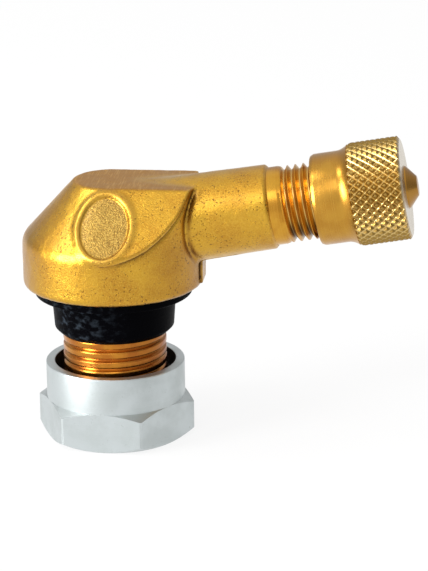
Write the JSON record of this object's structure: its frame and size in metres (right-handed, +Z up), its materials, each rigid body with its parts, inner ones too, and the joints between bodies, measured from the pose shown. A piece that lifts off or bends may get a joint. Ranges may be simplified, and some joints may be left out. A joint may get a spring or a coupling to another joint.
{
  "type": "angled tyre valve",
  "caption": "Angled clamp-in tyre valve: forged gold head with a side arm, rubber grommet, collared rim nut, knurled screw cap and spring-loaded core.",
  "frame": {"origin": "on the stem's axis in the plane of the rim seat, the underside of the grommet's flange", "axes": "+Z up the stem into the head, +X to the side of the arm and cap, Y across the arm"},
  "size_m": [0.0394, 0.0182, 0.0311],
  "materials": {
    "gold_anodised": "matte blasted, gold anodised",
    "nut_aluminium": "satin turned",
    "rubber_black": "matte",
    "core_brass": "turned",
    "pin_steel": "drawn wire",
    "gasket_red": "smooth"
  },
  "bodies": {
    "valve": {"valve_body": "gold_anodised", "core_plug": "core_brass", "core_barrel": "core_brass", "barrel_gasket": "gasket_red", "core_spring": "pin_steel"},
    "grommet": {"rim_grommet": "rubber_black"},
    "nut": {"rim_nut": "nut_aluminium"},
    "cap_liner": {"cap_seal": "rubber_black"},
    "cap": {"cap_shell": "gold_anodised"},
    "pin": {"core_pin": "pin_steel", "seat_cup": "core_brass", "seat_seal": "rubber_black"}
  },
  "joints": [
    {"name": "nut_turn", "type": "hinge", "parent": "valve", "child": "grommet", "pos_m": [0, 0, 0], "axis": [0, 0, 1], "range_deg": [-2881, 1261]},
    {"name": "nut_travel", "type": "slide", "parent": "grommet", "child": "nut", "axis": [0, 0, 1], "range_m": [-0.008, 0.0035]},
    {"name": "cap_travel", "type": "slide", "parent": "valve", "child": "cap_liner", "axis": [0.986, 0, 0.1668], "range_m": [0, 0.00635]},
    {"name": "cap_turn", "type": "hinge", "parent": "cap_liner", "child": "cap", "pos_m": [0.02465, 0, 0.01057], "axis": [0.986, 0, 0.1668], "range_deg": [-1, 2881]},
    {"name": "pin_press", "type": "slide", "parent": "valve", "child": "pin", "axis": [-0.986, 0, -0.1668], "range_m": [0, 0.0012], "stiffness_N_per_m": 1500, "springref_m": -0.001, "deforming": ["core_spring"]}
  ],
  "couplings": [
    {"joint": "nut_turn", "follows": "nut_travel", "rad_per_m": 6283.2},
    {"joint": "cap_turn", "follows": "cap_travel", "rad_per_m": 7915.8}
  ]
}
